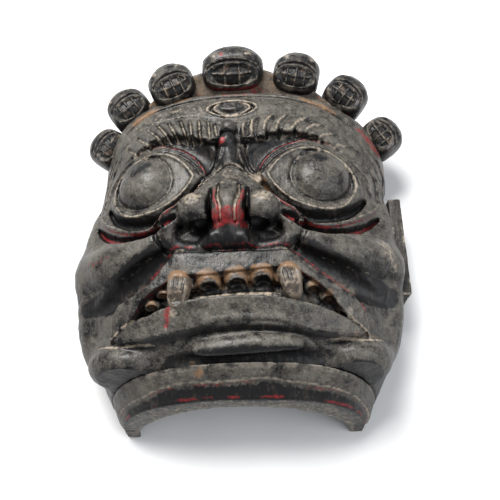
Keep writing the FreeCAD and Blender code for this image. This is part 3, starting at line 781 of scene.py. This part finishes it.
def make_face():
    """The hollow face, with raw wood inside and streaks on its steep sides."""
    clay = Clay((-126, -142, -2.5), (126, 106, 134), STEP)
    plan = build_face(clay)
    points, faces, normals, marks = surface(clay)
    x, y, z = points.T
    plan_paint(plan, points, normals, marks)
    marks["raw"] = unit((-above_dome(points) - 6) / 3) * (normals[:, 2] < 0.3)
    # Painted shade inside the nostrils: they are made dark, and their pale paint and worn edges are
    # taken away.
    nostril = tube_field(np.abs(x), y, z, NOSTRIL)
    inside = np.maximum(unit((2.2 - nostril) / 1.2), unit((6.5 - nostril) / 2.5) * unit((-27 - y) / 4))
    marks["dark"] = np.maximum(marks["dark"], inside)
    for layer in ("pale", "edge"):
        marks[layer] = marks[layer] * (1 - inside)
    streaks = unit(noise(points * (1, 0.14, 0.5), 2.5, 50) - 0.15) * unit(0.75 - normals[:, 2])
    marks["pale"] += 0.9 * streaks * (np.abs(x) > 90) * (marks["raw"] < 0.1)
    return make_object("face", "lacquer", sway(points), faces, marks)


def collar_ledge(x):
    """How far above the collar's lower end its step lies."""
    return 7.6 - 3.4 * (x / 90) ** 2 + 0.5 * np.sin(x * 0.11)


def make_collar():
    """The arched band under the chin, with a step, a few cracks and red lines."""
    clay = Clay((-102, -160, -2.5), (102, -108, 84), STEP * 0.8)
    field = dome_field(*clay.axes, 0, COLLAR)
    ahead = collar_plane(clay.y, clay.z)
    ledge = collar_ledge(clay.x)
    step_up = 1 / (1 + np.exp(-(ahead - ledge) / 0.5))
    field = field + 1.2 - 2.0 * step_up + 1.1 * (bell(ahead - ledge, 0.9) + bell(ahead - 1.0, 0.8) * 0.4)
    for x, lean in ((-18, 0.3), (38, -0.25), (-62, 0.1), (6, 0.5)):
        crack = bell(clay.x - x - lean * ahead, 0.45)
        field = field + 0.8 * crack * unit((ledge + 1 - ahead) / 2)
    inner_width = np.interp(clay.y, COLLAR_Y, COLLAR_WIDTH) - WALL
    inner_height = np.interp(clay.y, COLLAR_Y, COLLAR_HEIGHT) - WALL
    inner = (np.hypot(clay.x / inner_width, clay.z / inner_height) - 1) * inner_height
    field = soft_max(field, -inner, 1.5)
    field = soft_max(field, -ahead, 0.8)
    field = soft_max(field, ahead - COLLAR_LENGTH, 0.8)
    clay.field = soft_max(field, BACK_Z - clay.z, 1.2).astype(np.float32)

    points, faces, normals, marks = surface(clay, 0.7, 5)
    x, y, z = points.T
    ahead = collar_plane(y, z)
    over = ahead - collar_ledge(x)
    outward = unit(above_dome(points, COLLAR) / 3 + 1.8)
    patchy = unit(noise(points, 9, 90) * 2 + 0.3)
    marks["red"] = (bell(over, 0.8) * 0.55 + bell(ahead - 1.2, 1.0) * 0.75) * outward * patchy
    marks["pale"] = unit(-normals[:, 1] - 0.75) * 2.0 + 0.5 * bell(over - 0.8, 0.5) * outward
    patch = np.hypot((x + 27) * 0.8, ahead - 11.5)
    marks["ochre"] = np.clip(1.1 - patch / 4, 0, 0.9) * outward
    marks["dark"] = unit(-over / 2) * outward * 0.9
    marks["raw"] = 1 - unit(outward + (normals[:, 1] < -0.6))
    return make_object("collar", "lacquer", sway(points), faces, marks)


def make_crown():
    """The band behind the forehead, a slab that leans back, with the skulls' beds on its rim."""
    clay = Clay((-119, 44, 4), (119, 121, 88), STEP)
    radius = np.hypot(clay.x, clay.y - PLAN_CENTRE_Y) - CROWN_RADIUS
    field = soft_max(radius, -plan_field(clay.x, clay.y, 6.4), 1.0)
    height = (math.cos(CROWN_LEAN) * (clay.z - CROWN_FOOT_Z)
              - math.sin(CROWN_LEAN) * (clay.y - CROWN_FOOT_Y))
    field = soft_max(field, height - CROWN_HIGH, 2.0)
    field = soft_max(field, CROWN_LOW - height, 1.0)
    clay.field = soft_max(field, CROWN_ENDS_Y - clay.y, 1.5).astype(np.float32)

    points, faces, normals, marks = surface(clay, 0.8, 9)
    front = unit(normals[:, 2] * 2)
    lumps = noise(points, 8, 30) * 0.5 + 0.5
    marks["raw"] = np.full(len(points), 0.35)
    marks["ochre"] = (0.45 + 0.5 * unit((np.abs(points[:, 0]) - 40) / 30)) * front * lumps
    marks["pale"] = 0.25 * front * (1 - lumps)
    marks["red"] = unit(noise(points, 11, 31) - 0.25) * front
    marks["dark"] = unit(marks["cavity"]) * 0.5
    points[:, 0] += temple_shift(points)
    return make_object("crown", "crown", points, faces, marks)


# ---- skulls, fangs, boards

# For each skull: degrees round the face, distance from its centre, width and other sizes against
# the middle skull, and the carver's own nudge in X, Y and turn.
SKULLS = {
    "skull_center": (0, 130, 1, 1, (0, -1.8, 0)),
    "skull_right_1": (22, 132.5, 0.76, 0.97, (1, 1, 10)),
    "skull_right_2": (39, 140.5, 0.7, 0.92, (2, 0, 0)),
    "skull_right_3": (55, 140, 0.66, 0.88, (4, -1, 0)),
    "skull_left_1": (-22, 132.5, 0.76, 0.97, (0, -3.5, 0)),
    "skull_left_2": (-39, 140.5, 0.7, 0.92, (1.5, -2, -4)),
    "skull_left_3": (-55, 140, 0.66, 0.88, (8.5, 0, 0)),
}
SKULL_HALVES = (24.6, 18.2, 17.8)


def skull_marks(x, y, odd):
    """The carving of a skull's face: tooth cells, the mouth's rim, the brow line and two eyes."""
    over_mouth, near = y + 10.4, np.abs(x) < 20
    mouth = (np.abs(x) / 19) ** BOXINESS + (np.abs(over_mouth) / 7.4) ** BOXINESS
    inside = (1 - mouth ** (1 / BOXINESS)) * 8
    width = 11.5 if odd else 9.0
    column = (x / width + (0.5 if odd else 0.0)) % 1
    gap = np.minimum(width * np.minimum(column, 1 - column), np.abs(over_mouth - 0.006 * x * x))
    cells = unit((np.minimum(gap, inside - 0.8) - 0.35) / 0.9)
    rim = bell(inside + 0.4, 1.0)
    brow = bell(y - 1.4 + 0.013 * x * x, 0.9) * near
    socket = bell(y + 0.6 + 0.013 * x * x, 1.4) * near
    eyes = np.hypot((np.abs(x) - 13) / 3.6, (y - 5.2) / 2.2)
    return cells, rim, brow, socket, eyes, inside


def build_skull(clay, odd):
    """One skull in its own frame: X across, Y towards the top, Z out of the face."""
    power = 3.4 - 1.2 * unit((clay.y + 4) / 14)
    wide, long, deep = SKULL_HALVES
    size = ((np.abs(clay.x) / wide) ** power + (np.abs(clay.y) / long) ** power
            + (np.abs(clay.z - 0.12 * np.clip(clay.y, -18, 0)) / deep) ** power) ** (1 / power)
    field = (size - 1) * 18
    cells, rim, brow, socket, eyes, inside = skull_marks(clay.x, clay.y, odd)
    panel = unit(inside / 1.5)
    relief = 1.1 * cells + 0.5 * panel - 1.4 * rim - 1.2 * brow + 1.3 * socket - 0.7 * np.exp(-eyes**2)
    clay.field = (field + relief * (clay.z > 4)).astype(np.float32)


def skull_matrix(angle, reach, nudge):
    """A skull's place on the rim of the crown."""
    t = math.radians(angle)
    out = Vector((math.sin(t), math.cos(t), 0))
    centre = out * reach + Vector((nudge[0], nudge[1] - 7, 75 - 80 * (1 - math.cos(t))))
    face = (Vector((0, -0.22, 1)) + out * 0.5 * abs(math.sin(t))).normalized()
    out.rotate(Matrix.Rotation(math.radians(nudge[2]), 3, "Z"))
    top = (out - face * out.dot(face)).normalized()
    across = top.cross(face)
    return np.array(centre), np.array(Matrix((across, top, face)).transposed())


def make_skulls():
    """The seven skulls, each carved in its own frame and then set on the crown."""
    things = {}
    for number, (node, (angle, reach, wide, scale, nudge)) in enumerate(SKULLS.items()):
        odd = number == 0
        clay = Clay((-28, -22, -22), (28, 22, 23), FINE_STEP)
        build_skull(clay, odd)
        points, faces, normals, marks = surface(clay, 0.6, 40 + 3 * number)
        x, y, z = points.T
        front = unit(normals[:, 2] * 2) * (z > 4)
        cells, rim, brow, socket, eyes, inside = skull_marks(x, y, odd)
        bars = unit(inside / 1.5) * (1 - cells)
        marks["pale"] = (0.38 * rim + 0.45 * bars + 0.4 * brow + 0.6 * np.exp(-eyes**4)) * front
        beard = unit((-y - 14.5) / 2) * (z < 8)
        fleck = bell(np.hypot(x + 8, y - 5), 2.5) * front
        marks["red"] = (0.65 * beard + 0.9 * fleck) if odd else 0.25 * beard
        marks["ochre"] = 0.3 * unit(inside) * front
        # A dark base tone, with painted shade on the skull's undersides, in its recessed tooth cells and
        # in the groove under its brow.
        underside = unit(-normals[:, 1] * 1.5) * (y < -6)
        marks["dark"] = unit(0.4 + 0.6 * cells * unit(inside) + underside + socket * 0.6)
        marks["raw"] = np.zeros(len(points))
        centre, turn = skull_matrix(angle, reach, nudge)
        points = (points * (wide, scale, scale)) @ turn.T + centre
        things[node] = make_object(node + "_look", "lacquer", points, faces, marks)
    return things


def make_fang(side):
    """A fang carved with upright strokes, broad at the gum and blunt at its tip."""
    clay = Clay((22, -86, 76), (50, -46, 106), 0.45)
    lean, drop = (2.0, 1.5) if side < 0 else (0.5, -3)
    run = [(36, -53, 86, 5.5), (36, -59, 93.5, 6.8), (36.3 + lean * 0.3, -66 - drop, 95, 6.3),
           (36.6 + lean * 0.7, -72 - drop, 94.5, 5.4), (37 + lean, -75 - drop, 93, 4.6)]
    clay.limb(run, 1.0, both=False)
    for x in (-4.4, -1.6, 1.2, 4.0):
        clay.limb([(36 + x, -56, 101, 1.0), (37 + lean * 0.5 + x * 0.9, -67, 101, 1.0),
                   (37.5 + lean + x * 0.7, -79, 98, 0.9)], 0.8, both=False, remove=True)
    points, faces, _, marks = surface(clay, 0.5, 60)
    gum = unit((points[:, 1] + 60) / 4)
    points[:, 0] *= side
    faces = [face[::-1] for face in faces] if side < 0 else faces
    marks["pale"] = 0.35 * (1 - gum)
    marks["ochre"] = 0.9 * gum
    marks["red"] = 0.2 * gum
    marks["dark"] = unit(marks["cavity"] * 1.5) * 0.6
    marks["raw"] = np.full(len(points), 0.4)
    word = "right" if side > 0 else "left"
    return make_object(f"fang_{word}_look", "tooth", sway(points), faces, marks)


def make_board():
    """A weathered board with the tie hole, chipped along its edges."""
    clay = Clay((115, -65, -3), (131, 22, 43), FINE_STEP)
    middle, half = (123, -21.5, 20), (4.8, 39.2, 19.7)
    u, v, w = (np.abs(axis - centre) - size for axis, centre, size in zip(clay.axes, middle, half))
    field = soft_max(soft_max(u, v, 1.6), w, 1.6)
    hole = TIE_HOLE[2] - np.hypot(clay.y - TIE_HOLE[0], clay.z - TIE_HOLE[1])
    grain = 0.5 * np.sin(clay.z * 1.9 + 1.5 * np.sin(clay.y * 0.12)) * np.sin(clay.z * 0.7) ** 2
    clay.field = (soft_max(field, hole, 0.8) + 0.5 * grain).astype(np.float32)
    points, faces, _, marks = surface(clay, 0.6, 70)
    points = np.clip(points, (118.05, -60.9, 0.05), (127.9, 17.9, 39.9))
    chips = unit(noise(points, 7, 77) * 1.5)
    marks["pale"] = unit(marks["edge"] * 1.2 * chips)
    marks["ochre"] = 0.2 * marks["edge"]
    for name in ("red", "dark"):
        marks[name] = np.zeros(len(points))
    marks["raw"] = np.full(len(points), 0.2)
    return make_object("board_look", "board", points, faces, marks)


# ---- materials

class Paint:
    """A small builder of node materials."""

    def __init__(self, name):
        self.material = bpy.data.materials.new(name)
        self.material.use_nodes = True
        self.tree = self.material.node_tree
        self.tree.nodes.clear()
        self.shader = self.node("BsdfPrincipled")
        self.node("OutputMaterial", [self.shader.outputs[0]])
        self.place = self.node("TexCoord").outputs["Object"]

    def feed(self, socket, value):
        if isinstance(value, bpy.types.NodeSocket):
            self.tree.links.new(value, socket)
        else:
            socket.default_value = value

    def node(self, kind, values=(), **named):
        """A new node, with the first of its inputs given in order and others by name."""
        node = self.tree.nodes.new("ShaderNode" + kind)
        for socket, value in zip(node.inputs, values):
            self.feed(socket, value)
        for name, value in named.items():
            self.feed(node.inputs[name], value)
        return node

    def calc(self, operation, *values):
        node = self.node("Math", values)
        node.operation = operation
        return node.outputs[0]

    def product(self, a, b, *plus):
        """The product of two values, with a third one added to it where it is given."""
        return self.calc("MULTIPLY_ADD" if plus else "MULTIPLY", a, b, *plus)

    def mix(self, factor, a, b):
        node = self.node("Mix")
        node.data_type = "RGBA"
        for socket, value in zip((node.inputs[0], node.inputs[6], node.inputs[7]), (factor, a, b)):
            self.feed(socket, value if isinstance(value, (float, bpy.types.NodeSocket)) else (*value, 1))
        return node.outputs[2]

    def noise(self, size_mm, detail=3.0, stretch=(1, 1, 1)):
        turn = self.node("Mapping", [self.place], Scale=stretch)
        return self.node("TexNoise", [turn.outputs[0]], Scale=1000 / size_mm, Detail=detail,
                         Roughness=0.55).outputs[0]

    def layer(self, name):
        """A measure that the mesh carries at each point."""
        node = self.node("Attribute")
        node.attribute_name = name
        return node.outputs["Fac"]

    def span(self, value, low, high, to_low=0.0, to_high=1.0):
        """Move a value from one range to another, and keep it inside."""
        return self.node("MapRange", (value, low, high, to_low, to_high)).outputs[0]

    def bump(self, height, distance_mm, strength=1.0, below=None):
        node = self.node("Bump", Strength=strength, Distance=distance_mm * MM, Height=height)
        if below is not None:
            self.feed(node.inputs["Normal"], below)
        return node.outputs[0]

    def finish(self, color, roughness, normal, coat=0.0, specular=0.35):
        looks = {"Base Color": color, "Roughness": roughness, "Normal": normal, "Coat Weight": coat,
                 "Coat Roughness": 0.25, "Specular IOR Level": specular}
        for name, value in looks.items():
            self.feed(self.shader.inputs[name], value)
        return self.material


BARE_EDGE = (0.2, 0.175, 0.145)


def carved_material(name, dark, dusty, brown, raw, gloss, coat):
    """Aged lacquer: glossy black in the hollows, dusty on the high parts, paint left in the lines, and
    painted shade where the dark layer holds it.
    """
    paint = Paint(name)
    broad = paint.noise(22, 3)
    middle = paint.noise(6, 4)
    fine = paint.noise(1.4, 3)
    strands = paint.noise(2.4, 3, stretch=(1.0, 0.16, 0.5))
    cavity, edge = paint.layer("cavity"), paint.layer("edge")

    dust_and_shade = paint.product(broad, 1.0, -1.02)
    dust_and_shade = paint.product(middle, 1.35, dust_and_shade)
    dust_and_shade = paint.product(fine, 0.8, dust_and_shade)
    dust_and_shade = paint.product(cavity, -0.75, dust_and_shade)
    # The dark layer takes dust away: this brings its painted shade, as well as its dark paint, into the
    # colour.
    dust_and_shade = paint.product(paint.layer("dark"), -0.7, dust_and_shade)
    dust_and_shade = paint.span(dust_and_shade, 0.12, 0.78)
    color = paint.mix(dust_and_shade, dark, dusty)
    streaks = paint.product(paint.span(strands, 0.48, 0.68, 0.0, 0.6), dust_and_shade)
    color = paint.mix(streaks, color, brown)
    scuffs = paint.product(paint.span(strands, 0.5, 0.68, 0.0, 0.6),
                        paint.span(paint.noise(9, 3), 0.45, 0.6))
    scuffs = paint.product(scuffs, paint.calc("SUBTRACT", 1.0, dust_and_shade))
    color = paint.mix(scuffs, color, brown)
    speck = paint.span(fine, 0.58, 0.7, 0.0, 0.35)
    color = paint.mix(paint.product(speck, dust_and_shade), color, BARE_EDGE)
    pits = paint.span(paint.noise(2.6, 2), 0.36, 0.28, 0.0, 0.85)
    color = paint.mix(pits, color, dark)
    worn = paint.product(paint.span(edge, 0.25, 0.9), paint.span(middle, 0.4, 0.6, 0.0, 0.55))
    color = paint.mix(worn, color, BARE_EDGE)
    for layer, tint, strength in (("raw", raw, 1.0), ("ochre", (0.19, 0.105, 0.052), 0.72),
                                  ("red", (0.19, 0.012, 0.014), 0.95),
                                  ("pale", (0.34, 0.28, 0.215), 0.8)):
        grain = middle if layer in ("ochre", "raw") else paint.noise(3, 3)
        patchy = paint.product(grain, 1.5, -0.72)
        patchy = paint.calc("ADD", paint.layer(layer), patchy)
        amount = paint.span(patchy, 0.42, 0.95, 0.0, strength)
        amount = paint.product(amount, paint.span(paint.layer(layer), 0.05, 0.2))
        color = paint.mix(amount, color, tint)

    roughness = paint.span(dust_and_shade, 0.0, 1.0, *gloss)
    roughness = paint.product(middle, 0.22, paint.calc("SUBTRACT", roughness, 0.11))
    roughness = paint.product(paint.layer("dark"), 0.16, roughness)
    grain_normal = paint.bump(strands, 0.6, 0.7)
    middle_normal = paint.bump(middle, 0.9, 0.6, grain_normal)
    normal = paint.bump(fine, 0.3, 0.7, middle_normal)
    return paint.finish(color, roughness, normal, coat, 0.27)


def plain_wood(name, light, dark):
    """Whittled wood for the pegs."""
    paint = Paint(name)
    grain = paint.noise(1.2, 4, stretch=(1.0, 0.15, 1.0))
    color = paint.mix(paint.span(grain, 0.35, 0.7), dark, light)
    return paint.finish(color, paint.span(grain, 0.3, 0.7, 0.6, 0.75), paint.bump(grain, 0.15, 0.5))


def forged_iron(name):
    """Rusty iron for the nails."""
    paint = Paint(name)
    lumps = paint.noise(1.5, 4)
    rust = paint.noise(3, 3)
    color = paint.mix(paint.span(rust, 0.5, 0.65), (0.05, 0.045, 0.042), (0.13, 0.055, 0.03))
    paint.shader.inputs["Metallic"].default_value = 0.7
    return paint.finish(color, paint.span(rust, 0.4, 0.7, 0.4, 0.75), paint.bump(lumps, 0.3, 0.6))


def floor_material():
    """A pale, slightly mottled table top."""
    paint = Paint("floor")
    mottle = paint.noise(90, 3)
    color = paint.mix(paint.span(mottle, 0.3, 0.7), (0.62, 0.625, 0.63), (0.66, 0.66, 0.665))
    return paint.finish(color, 0.6, paint.bump(paint.noise(0.8, 2), 0.02, 0.2))


# For each carved material: dark, dusty, brown and raw colours, then its gloss and its coat.
CARVED = {
    "lacquer": ((0.005, 0.005, 0.0055), (0.092, 0.085, 0.073), (0.05, 0.038, 0.029),
                (0.075, 0.05, 0.032), (0.3, 0.55), 0.06),
    "crown": ((0.016, 0.012, 0.010), (0.11, 0.085, 0.062), (0.10, 0.066, 0.042), (0.12, 0.078, 0.048),
              (0.35, 0.6), 0.05),
    "tooth": ((0.03, 0.024, 0.019), (0.14, 0.115, 0.09), (0.10, 0.07, 0.045), (0.17, 0.13, 0.095),
              (0.3, 0.5), 0.1),
    "board": ((0.010, 0.009, 0.009), (0.04, 0.035, 0.031), (0.035, 0.027, 0.021), (0.06, 0.048, 0.036),
              (0.4, 0.6), 0.0),
}
MATERIALS = {name: carved_material(name, *looks) for name, looks in CARVED.items()}
MATERIALS["peg"] = plain_wood("peg", (0.085, 0.055, 0.032), (0.045, 0.028, 0.017))
MATERIALS["iron"] = forged_iron("iron")


# ---- stage, light and camera

def make_stage():
    """A pale table, six metres wide."""
    half = 3.0
    mesh = bpy.data.meshes.new("floor")
    corners = [(-half, -half, 0), (half, -half, 0), (half, half, 0), (-half, half, 0)]
    mesh.from_pydata(corners, [], [(0, 1, 2, 3)])
    mesh.materials.append(floor_material())
    floor = add_object("floor", mesh)


def add_light(name, spot, aim, size, power, tint=(1, 1, 1)):
    lamp = bpy.data.lights.new(name, "AREA")
    lamp.shape, lamp.size, lamp.size_y = "RECTANGLE", size[0], size[1]
    lamp.energy, lamp.color = power, tint
    thing = add_object(name, lamp)
    thing.location = spot
    thing.rotation_euler = (Vector(aim) - Vector(spot)).to_track_quat("-Z", "Y").to_euler()


def make_lights():
    """A key light beyond the crown, a fill at the viewer's right and a pale sky."""
    add_light("key", (-0.3, 0.6, 1.2), (0, 0, 0.05), (0.7, 0.5), 36, (1.0, 0.985, 0.96))
    add_light("fill", (0.9, -0.3, 0.9), (0, 0, 0.05), (0.9, 0.9), 9, (0.94, 0.97, 1.0))
    world = bpy.data.worlds.new("studio")
    world.use_nodes = True
    world.node_tree.nodes["Background"].inputs[0].default_value = (0.93, 0.96, 1.0, 1)
    world.node_tree.nodes["Background"].inputs[1].default_value = 0.42
    bpy.context.scene.world = world
    bpy.context.scene.view_settings.view_transform = "Standard"


def make_camera():
    """The photographer stands below the chin and looks down over the face."""
    azimuth, height, roll = (math.radians(degrees) for degrees in (9.24, 66.0, -10.77))
    target, distance, lens = Vector((0, -0.0005, 0.05)), 0.428, 40.3
    off_right, off_down = 0.023, 0.040
    back = Vector((math.sin(azimuth) * math.cos(height), -math.cos(azimuth) * math.cos(height),
                   math.sin(height)))
    level = (-back).cross(Vector((0, 0, 1))).normalized()
    rise = level.cross(-back)
    across = math.cos(roll) * level + math.sin(roll) * rise
    up = -math.sin(roll) * level + math.cos(roll) * rise
    spot = target + back * distance
    ahead = (-back + off_right * across - off_down * up).normalized()
    up = (up - ahead * up.dot(ahead)).normalized()
    turn = Matrix((ahead.cross(up), up, -ahead)).transposed().to_4x4()
    camera = add_object("camera", bpy.data.cameras.new("camera"))
    camera.data.lens, camera.data.sensor_width = lens, 36
    camera.matrix_world = Matrix.Translation(spot) @ turn
    bpy.context.scene.camera = camera


# ---- the whole mask

def place(thing, node):
    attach(thing, "root")
    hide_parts(node)


def dress(node, material):
    """Give a CAD node that is still shown its material."""
    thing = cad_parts[node]
    thing.data.materials.clear()
    thing.data.materials.append(None)
    thing.material_slots[0].link = "OBJECT"
    thing.material_slots[0].material = MATERIALS[material]


place(make_face(), "face_shell")
place(make_collar(), "chin_collar")
place(make_crown(), "crown_band")
for skull_node, skull in make_skulls().items():
    place(skull, skull_node)
place(make_fang(1), "fang_right")
place(make_fang(-1), "fang_left")
place(make_board(), "side_plate")
for peg_node in ("skull_pegs", "crown_pegs", "collar_pegs"):
    dress(peg_node, "peg")
dress("plate_nails", "iron")

make_stage()
make_lights()
make_camera()
